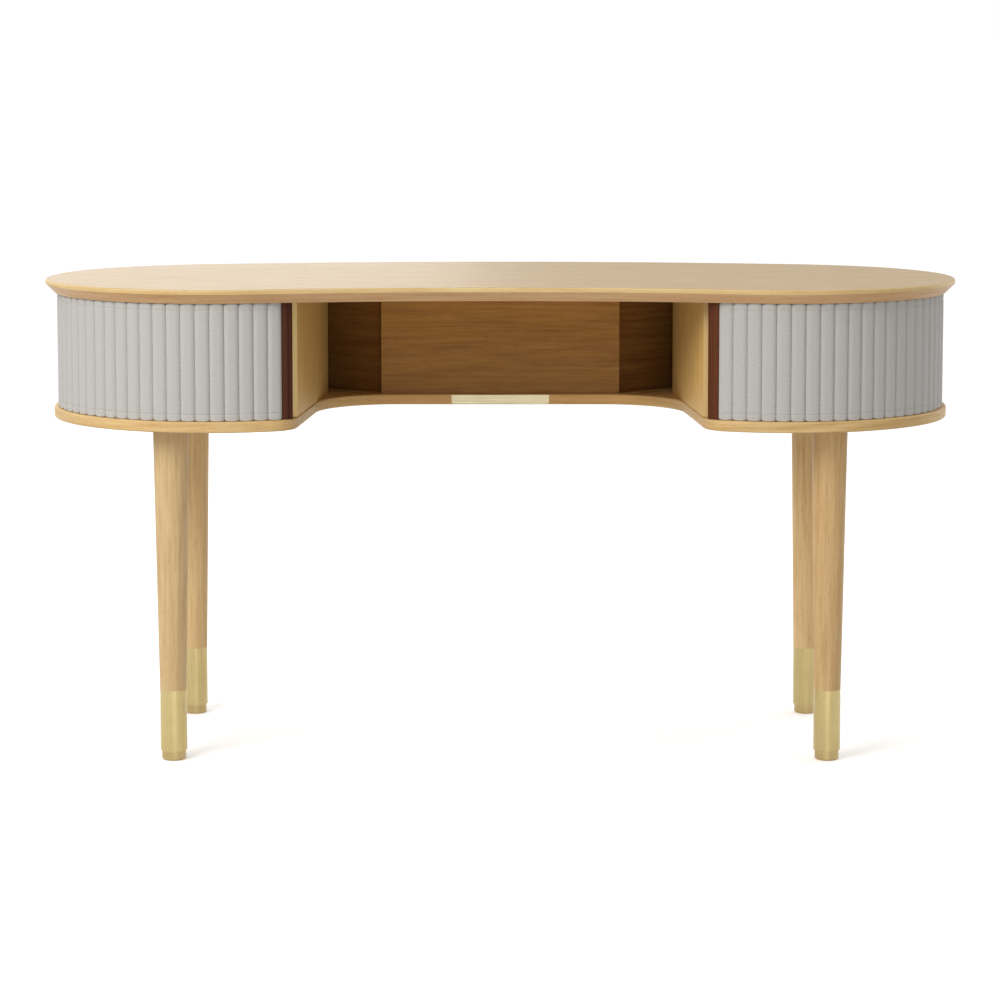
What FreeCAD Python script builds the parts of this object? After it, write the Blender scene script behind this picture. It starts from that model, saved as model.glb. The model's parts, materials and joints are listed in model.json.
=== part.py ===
import FreeCAD, Part
import math
import os
import Sketcher
from FreeCAD import Vector

# Driving sizes: name, value in millimetres or degrees, meaning
SIZES = (
    ("desk_width", 1460.0, "over the two rounded ends"),
    ("desk_depth", 626.0, "front of the rounded ends to the middle of the back"),
    ("desk_height", 750.0, "floor to writing surface"),
    ("rear_bow", 54.0, "middle of the back behind the rounded ends"),
    ("rear_shift", 12.0, "extra radius of the rear quarter"),
    ("front_hollow", 53.6, "set-back of the front edge in the middle"),
    ("top_thick", 22.0, "desk top"),
    ("lipping_width", 17.0, "solid edge of the desk top"),
    ("top_bevel", 15.0, "bevel under the edge"),
    ("top_round", 3.0, "round on the upper edge"),
    ("base_level", 546.0, "floor to the upper face of the base panel"),
    ("base_thick", 17.0, "base panel"),
    ("base_inset", 12.0, "base edge inside the top edge"),
    ("base_round", 2.5, "round on the base edges"),
    ("knee_corner_gap", 78.8, "knee edge's end inside the circle of the rounded end"),
    ("knee_corner_angle", 35.9, "direction of that end from the circle's centre"),
    ("knee_front_angle", 60.4, "where the knee side leaves the rounded end"),
    ("knee_front_round", 55.0, "front corner of the knee side"),
    ("knee_rear_ratio", 0.453, "rear corner radius to half of the knee edge"),
    ("panel_thick", 12.0, "dividers and centre panel"),
    ("divider_inset", 1.6, "divider face inside the knee side"),
    ("divider_front_gap", 35.0, "knee side's front corner to the divider"),
    ("divider_splay", 7.0, "slope across the front edge of the divider"),
    ("divider_overrun", 28.0, "divider behind the knee edge"),
    ("centre_setback", 12.0, "centre panel behind the knee edge"),
    ("housing_depth", 4.0, "grooves that hold the bent panels"),
    ("housing_fit", 0.1, "play round a bent panel in its groove"),
    ("rear_panel_inset", 17.2, "outer face of the rear panel inside the top edge"),
    ("rear_panel_thick", 5.0, "rear panel"),
    ("rear_panel_angle", 115.0, "end of the rear panel on the rear quarter"),
    ("bent_thick", 6.0, "pod liners and recess walls"),
    ("wall_gap", 6.0, "tambour face to recess wall"),
    ("wall_rear_angle", 86.0, "rear end of the recess wall"),
    ("wall_tangent_angle", 54.0, "where the recess wall runs straight"),
    ("wall_cover", 7.5, "centre panel beyond the face of the recess wall"),
    ("liner_gap", 7.0, "canvas to the nearest point of the pod liner"),
    ("liner_shift", 28.0, "liner centre away from the tambour centre"),
    ("liner_shift_angle", 150.0, "direction of that shift"),
    ("liner_side_gap", 0.2, "liner end to the divider"),
    ("liner_front_angle", 215.0, "liner end beside the pod opening"),
    ("tambour_inset", 18.0, "tambour face inside the top edge"),
    ("slat_thick", 12.0, "tambour slat"),
    ("slat_crown", 2.5, "rise of the slat face"),
    ("slat_gap", 0.3, "between neighbouring slats"),
    ("slat_angle", 5.0, "angle from slat to slat"),
    ("slat_count", 37.0, "slats in one curtain"),
    ("slat_play", 0.6, "slat shoulder to base and top"),
    ("tongue_thick", 7.0, "slat tongue"),
    ("tongue_shoulder", 1.3, "slat edge to tongue edge"),
    ("track_depth", 8.0, "tambour track"),
    ("track_play", 0.4, "tongue to the inner wall of the track"),
    ("track_outer_play", 0.6, "tongue to the outer wall of the track"),
    ("track_end_play", 0.8, "tongue end to the track floor"),
    ("track_front_angle", 61.5, "front end of the track"),
    ("track_tail_angle", 29.0, "inner end of the track"),
    ("lead_angle", 60.0, "front face of the lead slat when shut"),
    ("lead_slat_angle", 4.1, "angle taken by the lead slat"),
    ("lead_crown", 3.2, "rise of the lead slat face"),
    ("lead_tongue_near", 0.5, "lead tongue ahead of the slat middle"),
    ("grip_radius", 3.5, "finger groove in the lead slat"),
    ("grip_offset", 3.0, "finger groove ahead of the slat middle"),
    ("canvas_thick", 1.0, "tambour canvas"),
    ("canvas_play", 0.1, "canvas to the slats' backs"),
    ("canvas_margin", 6.0, "canvas edge to base and top"),
    ("plate_ratio", 0.2805, "front plate's length to the knee edge"),
    ("plate_tall", 14.4, "height of the front plate"),
    ("plate_thick", 2.0, "front plate"),
    ("plate_corner", 3.0, "lower corners of the front plate"),
    ("leg_inset", 94.3, "leg centre inside the circle of the rounded end"),
    ("leg_angle", 69.5, "direction of the leg from the circle's centre"),
    ("leg_top_radius", 28.0, "leg at the base panel"),
    ("leg_end_radius", 21.0, "leg at the ferrule"),
    ("ferrule_level", 112.0, "floor to the upper rim of the ferrule"),
    ("ferrule_wall", 1.4, "ferrule tube"),
    ("ferrule_floor", 3.0, "ferrule bottom"),
    ("ferrule_hole", 4.5, "hole in the ferrule bottom"),
    ("glue_gap", 0.1, "leg end in the ferrule"),
    ("foot_radius", 18.8, "levelling foot"),
    ("foot_tall", 15.5, "levelling foot"),
    ("foot_chamfer", 2.0, "lower edge of the foot"),
    ("stud_radius", 4.0, "foot stud and hanger bolt"),
    ("stud_reach", 26.5, "foot stud above the foot"),
    ("thread_fit", 0.05, "stud in its thread"),
    ("insert_radius", 6.0, "foot insert"),
    ("insert_tall", 25.0, "foot insert"),
    ("insert_room", 5.0, "bore above the insert"),
    ("bolt_bite", 50.0, "hanger bolt inside the leg"),
    ("bolt_short", 3.0, "bolt end below the base panel's upper face"),
    ("nut_flange_radius", 12.0, "tee nut flange"),
    ("nut_flange_thick", 1.5, "tee nut flange"),
    ("nut_barrel_radius", 5.5, "tee nut barrel"),
    ("nut_tall", 13.0, "tee nut"),
    ("dowel_radius", 3.0, "panel dowel"),
    ("dowel_bite", 12.0, "dowel in each panel"),
    ("dowel_room", 0.5, "hole beyond the dowel end"),
    ("dowel_edge", 50.0, "outer dowel to panel end"),
)

EXPORTS = []

doc = FreeCAD.newDocument("tambour_desk")
sheet = doc.addObject("Spreadsheet::Sheet", "Sizes")
for row, (name, value, meaning) in enumerate(SIZES, start=1):
    sheet.set("A%d" % row, name)
    sheet.set("B%d" % row, "%g" % value)
    sheet.setAlias("B%d" % row, name)
    sheet.set("C%d" % row, meaning)
doc.recompute()


class Formula:
    """A number together with the sheet expression that gives it."""

    def __init__(self, value, text):
        self.value = value
        self.text = text

    def __add__(self, other):
        other = formula(other)
        return Formula(self.value + other.value, "(%s + %s)" % (self.text, other.text))

    def __radd__(self, other):
        return formula(other) + self

    def __sub__(self, other):
        other = formula(other)
        return Formula(self.value - other.value, "(%s - %s)" % (self.text, other.text))

    def __rsub__(self, other):
        return formula(other) - self

    def __mul__(self, other):
        other = formula(other)
        return Formula(self.value * other.value, "%s * %s" % (self.text, other.text))

    def __rmul__(self, other):
        return formula(other) * self

    def __truediv__(self, other):
        other = formula(other)
        return Formula(self.value / other.value, "(%s / (%s))" % (self.text, other.text))

    def __neg__(self):
        return Formula(-self.value, "(0 - %s)" % self.text)


def formula(number):
    if isinstance(number, Formula):
        return number
    return Formula(float(number), "(%r)" % float(number))


def size(name):
    return Formula(float(sheet.get(name)), "Sizes." + name)


def root(number):
    return Formula(math.sqrt(number.value), "sqrt(%s)" % number.text)


def sine(angle):
    angle = formula(angle)
    return Formula(math.sin(math.radians(angle.value)), "sin(%s)" % angle.text)


def cosine(angle):
    angle = formula(angle)
    return Formula(math.cos(math.radians(angle.value)), "cos(%s)" % angle.text)


def tangent(angle):
    angle = formula(angle)
    return Formula(math.tan(math.radians(angle.value)), "tan(%s)" % angle.text)


def arc_tangent(ratio):
    return Formula(math.degrees(math.atan(ratio.value)), "(atan(%s) / 1 deg)" % ratio.text)


def arc_cosine(ratio):
    return Formula(math.degrees(math.acos(ratio.value)), "(acos(%s) / 1 deg)" % ratio.text)


class Frame:
    """Where a horizontal sketch has its origin, and how far it is turned."""

    def __init__(self, x=0.0, y=0.0, turn=0.0):
        self.x = formula(x)
        self.y = formula(y)
        self.turn = formula(turn)


def new_body(label):
    body = doc.addObject("PartDesign::Body", label)
    body.Label = label
    return body


def level_sketch(body, level, frame):
    sketch = body.newObject("Sketcher::SketchObject", body.Name + "_sketch")
    sketch.AttachmentSupport = (body.Origin.OriginFeatures[3], [""])
    sketch.MapMode = "FlatFace"
    level = formula(level)
    position = Vector(frame.x.value, frame.y.value, level.value)
    turn = FreeCAD.Rotation(Vector(0, 0, 1), frame.turn.value)
    sketch.AttachmentOffset = FreeCAD.Placement(position, turn)
    sketch.setExpression("AttachmentOffset.Base.x", frame.x.text)
    sketch.setExpression("AttachmentOffset.Base.y", frame.y.text)
    sketch.setExpression("AttachmentOffset.Base.z", level.text)
    if frame.turn.value:
        sketch.setExpression("AttachmentOffset.Rotation.Angle", frame.turn.text)
    return sketch


def upright_sketch(body, x, y):
    sketch = body.newObject("Sketcher::SketchObject", body.Name + "_sketch")
    sketch.AttachmentSupport = (body.Origin.OriginFeatures[4], [""])
    sketch.MapMode = "FlatFace"
    across = formula(x)
    forward = -formula(y)
    sketch.AttachmentOffset = FreeCAD.Placement(Vector(across.value, 0, forward.value), FreeCAD.Rotation())
    sketch.setExpression("AttachmentOffset.Base.x", across.text)
    sketch.setExpression("AttachmentOffset.Base.z", forward.text)
    return sketch


def bind(sketch, constraint, number):
    index = sketch.addConstraint(constraint)
    sketch.setExpression("Constraints[%d]" % index, number.text)


def pin(sketch, geometry, place, x, y):
    if abs(x.value) < 1e-9:
        sketch.addConstraint(Sketcher.Constraint("PointOnObject", geometry, place, -2))
    else:
        bind(sketch, Sketcher.Constraint("DistanceX", -1, 1, geometry, place, x.value), x)
    if abs(y.value) < 1e-9:
        sketch.addConstraint(Sketcher.Constraint("PointOnObject", geometry, place, -1))
    else:
        bind(sketch, Sketcher.Constraint("DistanceY", -1, 1, geometry, place, y.value), y)


# A loop is a list of (x, y, bend): each side starts at x, y and runs straight
# when bend is None, or round the bend's (centre x, centre y, radius, anticlockwise)
def add_loop(sketch, loop):
    corners = [(formula(x), formula(y), bend) for x, y, bend in loop]
    ends = []
    for index, (x, y, bend) in enumerate(corners):
        next_x, next_y, _ = corners[(index + 1) % len(corners)]
        start = Vector(x.value, y.value, 0)
        stop = Vector(next_x.value, next_y.value, 0)
        if bend is None:
            side = sketch.addGeometry(Part.LineSegment(start, stop), False)
            ends.append((side, 1, 2))
            continue
        middle = Vector(formula(bend[0]).value, formula(bend[1]).value, 0)
        circle = Part.Circle(middle, Vector(0, 0, 1), formula(bend[2]).value)
        first, last = (start, stop) if bend[3] else (stop, start)
        first_angle = math.atan2(first.y - middle.y, first.x - middle.x)
        last_angle = math.atan2(last.y - middle.y, last.x - middle.x)
        if last_angle <= first_angle:
            last_angle += 2 * math.pi
        side = sketch.addGeometry(Part.ArcOfCircle(circle, first_angle, last_angle), False)
        ends.append((side, 1, 2) if bend[3] else (side, 2, 1))
    for index, (side, _, finish) in enumerate(ends):
        next_side, begin, _ = ends[(index + 1) % len(ends)]
        sketch.addConstraint(Sketcher.Constraint("Coincident", side, finish, next_side, begin))
    for (side, begin, _), (x, y, bend) in zip(ends, corners):
        pin(sketch, side, begin, x, y)
        if bend is not None:
            radius = formula(bend[2])
            bind(sketch, Sketcher.Constraint("Radius", side, radius.value), radius)


def add_circle(sketch, x, y, radius):
    x = formula(x)
    y = formula(y)
    circle = Part.Circle(Vector(x.value, y.value, 0), Vector(0, 0, 1), radius.value)
    side = sketch.addGeometry(circle, False)
    pin(sketch, side, 3, x, y)
    bind(sketch, Sketcher.Constraint("Radius", side, radius.value), radius)


def mirrored(loop):
    flipped = []
    for index in range(len(loop)):
        x, y, _ = loop[-index]
        bend = loop[-index - 1][2]
        if bend is not None:
            bend = (-formula(bend[0]), bend[1], bend[2], bend[3])
        flipped.append((-formula(x), y, bend))
    return flipped


def pad(body, sketch, length, backwards=False):
    length = formula(length)
    feature = body.newObject("PartDesign::Pad", body.Name + "_pad")
    feature.Profile = sketch
    feature.Length = length.value
    feature.setExpression("Length", length.text)
    feature.Reversed = backwards
    sketch.Visibility = False
    doc.recompute()
    return feature


def cut(body, sketch, depth, upward=False):
    before = body.Shape.Volume
    depth = formula(depth)
    feature = body.newObject("PartDesign::Pocket", body.Name + "_pocket")
    feature.Profile = sketch
    feature.Length = depth.value
    feature.setExpression("Length", depth.text)
    feature.Reversed = upward
    doc.recompute()
    if body.Shape.Volume > before - 1.0:
        raise RuntimeError("a pocket took nothing from " + body.Label)
    return feature


def turned(label, x, y, profile):
    body = new_body(label)
    sketch = upright_sketch(body, x, y)
    add_loop(sketch, [(radius, level, None) for radius, level in profile])
    feature = body.newObject("PartDesign::Revolution", body.Name + "_turning")
    feature.Profile = sketch
    feature.ReferenceAxis = (sketch, ["V_Axis"])
    feature.Angle = 360
    doc.recompute()
    return body


def dress(body, kind, feature, wanted, amount):
    names = ["Edge%d" % number for number, edge in enumerate(feature.Shape.Edges, start=1) if wanted(edge)]
    dressing = body.newObject("PartDesign::" + kind, body.Name + "_" + kind.lower())
    dressing.Base = (feature, names)
    setting = "Radius" if kind == "Fillet" else "Size"
    setattr(dressing, setting, amount.value)
    dressing.setExpression(setting, amount.text)
    doc.recompute()
    return dressing


def group(label, members):
    compound = doc.addObject("Part::Compound", label)
    compound.Label = label
    compound.Links = members
    doc.recompute()
    return compound


def right_hand(label, source):
    copy = doc.addObject("Part::Mirroring", label)
    copy.Label = label
    copy.Source = source
    copy.Normal = Vector(1, 0, 0)
    copy.Base = Vector(0, 0, 0)
    doc.recompute()
    return copy


def keep(*pieces):
    EXPORTS.extend(pieces)


# Levels
top_under = size("desk_height") - size("top_thick")
base_level = size("base_level")
base_under = base_level - size("base_thick")

# Plan of the desk top: the rounded ends take the depth that the bow of the back leaves
end_radius = (size("desk_depth") - size("rear_bow") - size("rear_shift")) / 2
end_x = size("desk_width") / 2 - end_radius
end_y = end_radius - size("desk_depth") / 2
rear_x = end_x - size("rear_shift")
rear_r = end_radius + size("rear_shift")
rear_reach = size("desk_depth") - end_radius
rear_sweep = (rear_x * rear_x + rear_reach * rear_reach - rear_r * rear_r) / (2 * (rear_reach - rear_r))
rear_sweep_y = size("desk_depth") / 2 - rear_sweep
front_reach = end_radius - size("front_hollow")
front_sweep = (end_x * end_x + front_reach * front_reach - end_radius * end_radius)
front_sweep = front_sweep / (2 * size("front_hollow"))
front_sweep_y = end_y - front_reach - front_sweep
knee_r = end_radius - size("knee_corner_gap")
knee_half = end_x - knee_r * cosine(size("knee_corner_angle"))
knee_y = end_y + knee_r * sine(size("knee_corner_angle"))


def rear_tangent(inset):
    share = (rear_r - inset) / (rear_sweep - rear_r)
    return rear_x * (1 + share), end_y + (rear_sweep - rear_reach) * share


def rear_half(inset):
    x, y = rear_tangent(inset)
    radius = rear_r - inset
    return [
        (-end_x - end_radius + inset, end_y, (-rear_x, end_y, radius, False)),
        (-x, y, (0, rear_sweep_y, rear_sweep - inset, False)),
        (x, y, (rear_x, end_y, radius, False)),
    ]


def top_outline(inset):
    radius = end_radius - inset
    share = radius / (front_sweep + end_radius)
    x = end_x * (1 - share)
    y = end_y - (front_reach + front_sweep) * share
    return rear_half(inset) + [
        (end_x + radius, end_y, (end_x, end_y, radius, False)),
        (x, y, (0, front_sweep_y, front_sweep + inset, True)),
        (-x, y, (-end_x, end_y, radius, False)),
    ]


# Knee side of the base panel: front corner on the rounded end, straight to the knee edge
base_r = end_radius - size("base_inset")
side_x = end_x - base_r * cosine(size("knee_front_angle"))
side_y = end_y - base_r * sine(size("knee_front_angle"))
side_run = knee_y - side_y
side_lean = side_x - knee_half
side_length = root(side_run * side_run + side_lean * side_lean)
side_turn = arc_tangent(side_lean / side_run)

PLAIN = Frame()
LEFT_END = Frame(-end_x, end_y)
RIGHT_END = Frame(end_x, end_y)
LEFT_SIDE = Frame(-side_x, side_y, 90 - side_turn)
RIGHT_SIDE = Frame(side_x, side_y, 90 + side_turn)

# Tambour circle
face_r = end_radius - size("tambour_inset")
back_r = face_r - size("slat_thick")
track_in = back_r - size("track_play")
track_out = back_r + size("tongue_thick") + size("track_outer_play")
canvas_out = back_r - size("canvas_play")
canvas_in = canvas_out - size("canvas_thick")


def ring_sector(inner, outer, first, last):
    return [
        (outer * cosine(first), outer * sine(first), (0, 0, outer, True)),
        (outer * cosine(last), outer * sine(last), None),
        (inner * cosine(last), inner * sine(last), (0, 0, inner, False)),
        (inner * cosine(first), inner * sine(first), None),
    ]


track_loop = ring_sector(track_in, track_out, size("track_tail_angle"), -size("track_front_angle"))

# Bent panels: each loop grows by a small fit for its groove
centre_back = knee_y + size("centre_setback") + size("panel_thick")


def wall_end(radius):
    turn = size("wall_tangent_angle")
    drop = end_y + radius * sine(turn) - centre_back
    return radius * cosine(turn) + drop * tangent(turn)


def wall_loop(grow):
    inner = face_r + size("wall_gap") - grow
    outer = face_r + size("wall_gap") + size("bent_thick") + grow
    rear = size("wall_rear_angle")
    turn = size("wall_tangent_angle")
    end = centre_back - end_y
    return [
        (inner * cosine(rear), inner * sine(rear), (0, 0, inner, False)),
        (inner * cosine(turn), inner * sine(turn), None),
        (wall_end(inner), end, None),
        (wall_end(outer), end, None),
        (outer * cosine(turn), outer * sine(turn), (0, 0, outer, True)),
        (outer * cosine(rear), outer * sine(rear), None),
    ]


# The liner ends where its outer face meets the divider
liner_x = end_x - size("liner_shift") * cosine(size("liner_shift_angle"))
liner_y = end_y + size("liner_shift") * sine(size("liner_shift_angle"))
LEFT_LINER = Frame(-liner_x, liner_y)
RIGHT_LINER = Frame(liner_x, liner_y)
liner_r = canvas_in - size("liner_gap") - size("liner_shift")
liner_reach = (liner_x - side_x) * cosine(side_turn) + (liner_y - side_y) * sine(side_turn)
liner_reach = liner_reach - size("divider_inset") - size("panel_thick") - size("liner_side_gap")
liner_rear = arc_cosine(liner_reach / liner_r) - side_turn


def liner_loop(grow):
    outer = liner_r + grow
    inner = liner_r - size("bent_thick") - grow
    return ring_sector(inner, outer, liner_rear, size("liner_front_angle"))


def rear_loop(grow):
    outer = size("rear_panel_inset") - grow
    inner = size("rear_panel_inset") + size("rear_panel_thick") + grow
    outer_r = rear_r - outer
    inner_r = rear_r - inner
    outer_x, outer_y = rear_tangent(outer)
    inner_x, inner_y = rear_tangent(inner)
    across = -cosine(size("rear_panel_angle"))
    along = sine(size("rear_panel_angle"))
    return [
        (-rear_x - outer_r * across, end_y + outer_r * along, (-rear_x, end_y, outer_r, False)),
        (-outer_x, outer_y, (0, rear_sweep_y, rear_sweep - outer, False)),
        (outer_x, outer_y, (rear_x, end_y, outer_r, False)),
        (rear_x + outer_r * across, end_y + outer_r * along, None),
        (rear_x + inner_r * across, end_y + inner_r * along, (rear_x, end_y, inner_r, True)),
        (inner_x, inner_y, (0, rear_sweep_y, rear_sweep - inner, True)),
        (-inner_x, inner_y, (-rear_x, end_y, inner_r, True)),
        (-rear_x - inner_r * across, end_y + inner_r * along, None),
    ]


# Dowel places: along each divider and along the centre panel
divider_mid = size("divider_inset") + size("panel_thick") / 2
divider_end = side_length + size("divider_overrun")
divider_dowels = (
    size("divider_front_gap") + size("dowel_edge"),
    divider_end - size("dowel_edge"),
)
centre_mid = knee_y + size("centre_setback") + size("panel_thick") / 2
centre_side = end_x - wall_end(face_r + size("wall_gap")) + size("wall_cover")
centre_dowel = centre_side - size("dowel_edge")
centre_dowels = (-centre_dowel, formula(0), centre_dowel)
dowel_hole = size("dowel_radius") + size("thread_fit")
dowel_sink = size("dowel_bite") + size("dowel_room")


def dowel_sketches(body, level, radius):
    for frame, hand in ((LEFT_SIDE, 1), (RIGHT_SIDE, -1)):
        sketch = level_sketch(body, level, frame)
        for along in divider_dowels:
            add_circle(sketch, along, divider_mid * hand, radius)
        yield sketch
    sketch = level_sketch(body, level, PLAIN)
    for across in centre_dowels:
        add_circle(sketch, across, centre_mid, radius)
    yield sketch


def cut_tracks_and_housings(body, level, upward):
    for frame, loop in ((LEFT_END, track_loop), (RIGHT_END, mirrored(track_loop))):
        sketch = level_sketch(body, level, frame)
        add_loop(sketch, loop)
        cut(body, sketch, size("track_depth"), upward)
    fit = size("housing_fit")
    housings = (
        (PLAIN, rear_loop(fit)),
        (LEFT_END, wall_loop(fit)),
        (RIGHT_END, mirrored(wall_loop(fit))),
        (LEFT_LINER, liner_loop(fit)),
        (RIGHT_LINER, mirrored(liner_loop(fit))),
    )
    for frame, loop in housings:
        sketch = level_sketch(body, level, frame)
        add_loop(sketch, loop)
        cut(body, sketch, size("housing_depth"), upward)
    for sketch in list(dowel_sketches(body, level, dowel_hole)):
        cut(body, sketch, dowel_sink, upward)


# Desk top: veneered board inside a solid edge
desk_top = new_body("desk_top")
board_sketch = level_sketch(desk_top, top_under, PLAIN)
add_loop(board_sketch, top_outline(size("lipping_width")))
pad(desk_top, board_sketch, size("top_thick"))
cut_tracks_and_housings(desk_top, top_under, True)

lipping = new_body("top_edge_lipping")
lipping_sketch = level_sketch(lipping, top_under, PLAIN)
add_loop(lipping_sketch, top_outline(formula(0)))
add_loop(lipping_sketch, top_outline(size("lipping_width")))
lipping_pad = pad(lipping, lipping_sketch, size("top_thick"))
outer_radii = [number.value for number in (end_radius, rear_r, rear_sweep, front_sweep)]


def on_outer_rim(level):
    def wanted(edge):
        if not hasattr(edge.Curve, "Radius"):
            return False
        flat = all(abs(vertex.Z - level.value) < 1e-6 for vertex in edge.Vertexes)
        return flat and any(abs(edge.Curve.Radius - radius) < 1e-4 for radius in outer_radii)
    return wanted


lipping_bevel = dress(lipping, "Chamfer", lipping_pad, on_outer_rim(top_under), size("top_bevel"))
dress(lipping, "Fillet", lipping_bevel, on_outer_rim(size("desk_height")), size("top_round"))
keep(desk_top, lipping)

# Base panel with its knee space
base = new_body("base_panel")
base_sketch = level_sketch(base, base_under, PLAIN)
base_loop = rear_half(size("base_inset")) + [
    (end_x + base_r, end_y, (end_x, end_y, base_r, False)),
    (side_x, side_y, None),
    (knee_half, knee_y, None),
    (-knee_half, knee_y, None),
    (-side_x, side_y, (-end_x, end_y, base_r, False)),
]
add_loop(base_sketch, base_loop)
base_pad = pad(base, base_sketch, size("base_thick"))


def lies_flat(edge):
    return max(vertex.Z for vertex in edge.Vertexes) - min(vertex.Z for vertex in edge.Vertexes) < 1e-6


def upright_at(x, y):
    def wanted(edge):
        if lies_flat(edge):
            return False
        return all(abs(abs(v.X) - x.value) < 1e-4 and abs(v.Y - y.value) < 1e-4 for v in edge.Vertexes)
    return wanted


base_front = dress(base, "Fillet", base_pad, upright_at(side_x, side_y), size("knee_front_round"))
rear_corner = upright_at(knee_half, knee_y)
base_rear = dress(base, "Fillet", base_front, rear_corner, knee_half * size("knee_rear_ratio"))
dress(base, "Fillet", base_rear, lies_flat, size("base_round"))
cut_tracks_and_housings(base, base_level, False)

leg_x = end_x + (end_radius - size("leg_inset")) * cosine(size("leg_angle"))
leg_reach = (end_radius - size("leg_inset")) * sine(size("leg_angle"))
leg_places = (
    ("front_left", -leg_x, end_y - leg_reach),
    ("front_right", leg_x, end_y - leg_reach),
    ("rear_left", -leg_x, end_y + leg_reach),
    ("rear_right", leg_x, end_y + leg_reach),
)
barrel_sketch = level_sketch(base, base_level, PLAIN)
flange_sketch = level_sketch(base, base_level, PLAIN)
for place, x, y in leg_places:
    add_circle(barrel_sketch, x, y, size("nut_barrel_radius") + size("thread_fit"))
    add_circle(flange_sketch, x, y, size("nut_flange_radius") + size("thread_fit"))
cut(base, barrel_sketch, size("base_thick"))
cut(base, flange_sketch, size("nut_flange_thick"))

# Plate let into the knee edge
plate_low = base_under + (size("base_thick") - size("plate_tall")) / 2
plate_high = plate_low + size("plate_tall")
plate_round = size("plate_corner")
plate_side = knee_half * size("plate_ratio")
plate_loop = [
    (-plate_side, plate_high, None),
    (-plate_side, plate_low + plate_round,
     (-plate_side + plate_round, plate_low + plate_round, plate_round, True)),
    (-plate_side + plate_round, plate_low, None),
    (plate_side - plate_round, plate_low,
     (plate_side - plate_round, plate_low + plate_round, plate_round, True)),
    (plate_side, plate_low + plate_round, None),
    (plate_side, plate_high, None),
]
recess_sketch = upright_sketch(base, 0, knee_y)
add_loop(recess_sketch, plate_loop)
cut(base, recess_sketch, size("plate_thick"))
plate = new_body("front_plate")
plate_sketch = upright_sketch(plate, 0, knee_y)
add_loop(plate_sketch, plate_loop)
pad(plate, plate_sketch, size("plate_thick"), True)
keep(base, plate)

# Dividers and centre panel
room = top_under - base_level


def rectangle(x0, x1, y0, y1):
    return [(x0, y0, None), (x1, y0, None), (x1, y1, None), (x0, y1, None)]


divider = new_body("left_divider")
divider_sketch = level_sketch(divider, base_level, LEFT_SIDE)
divider_near = size("divider_inset")
divider_far = size("divider_inset") + size("panel_thick")
divider_front = size("divider_front_gap")
add_loop(divider_sketch, [
    (divider_front + size("divider_splay"), divider_near, None),
    (divider_end, divider_near, None),
    (divider_end, divider_far, None),
    (divider_front, divider_far, None),
])
pad(divider, divider_sketch, room)
for level, upward in ((base_level, True), (top_under, False)):
    hole_sketch = level_sketch(divider, level, LEFT_SIDE)
    for along in divider_dowels:
        add_circle(hole_sketch, along, divider_mid, dowel_hole)
    cut(divider, hole_sketch, dowel_sink, upward)
keep(divider, right_hand("right_divider", divider))

centre = new_body("centre_panel")
centre_sketch = level_sketch(centre, base_level, PLAIN)
centre_front = knee_y + size("centre_setback")
add_loop(centre_sketch, rectangle(-centre_side, centre_side, centre_front, centre_back))
pad(centre, centre_sketch, room)
for level, upward in ((base_level, True), (top_under, False)):
    hole_sketch = level_sketch(centre, level, PLAIN)
    for across in centre_dowels:
        add_circle(hole_sketch, across, centre_mid, dowel_hole)
    cut(centre, hole_sketch, dowel_sink, upward)
keep(centre)

# Dowels: a layer in the base panel and a layer in the desk top
dowels = new_body("panel_dowel_bodies")
dowels.AllowCompound = True
for level in (base_level, top_under):
    for sketch in list(dowel_sketches(dowels, level - size("dowel_bite"), size("dowel_radius"))):
        pad(dowels, sketch, 2 * size("dowel_bite"))
keep(group("panel_dowels", [dowels]))

# Bent panels stand in the grooves of base and top
bent_low = base_level - size("housing_depth")
bent_tall = room + 2 * size("housing_depth")


def bent_panel(label, frame, loop):
    body = new_body(label)
    sketch = level_sketch(body, bent_low, frame)
    add_loop(sketch, loop)
    pad(body, sketch, bent_tall)
    return body


no_growth = formula(0)
left_wall = bent_panel("left_recess_wall", LEFT_END, wall_loop(no_growth))
left_liner = bent_panel("left_pod_liner", LEFT_LINER, liner_loop(no_growth))
keep(left_wall, right_hand("right_recess_wall", left_wall))
keep(left_liner, right_hand("right_pod_liner", left_liner))
keep(bent_panel("rear_panel", PLAIN, rear_loop(no_growth)))

# Tambour curtain: crowned slats with tongues that run in the tracks
slat_low = base_level + size("slat_play")
slat_tall = room - 2 * size("slat_play")
tongue_low = base_level - size("track_depth") + size("track_end_play")
tongue_tall = room + 2 * size("track_depth") - 2 * size("track_end_play")
lead_turn = -size("lead_angle") - size("lead_slat_angle") / 2
slat_turn = -size("lead_angle") - size("lead_slat_angle") - size("slat_angle") / 2


def half_width(radius, pitch):
    return radius * tangent(pitch / 2) - size("slat_gap") / 2


def crowned_loop(inner, outer, crown, pitch):
    shoulder = outer - crown
    inner_half = half_width(inner, pitch)
    outer_half = half_width(shoulder, pitch)
    bow = (outer_half * outer_half + crown * crown) / (2 * crown)
    return [
        (inner, -inner_half, None),
        (shoulder, -outer_half, (outer - bow, 0, bow, True)),
        (shoulder, outer_half, None),
        (inner, inner_half, None),
    ]


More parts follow.
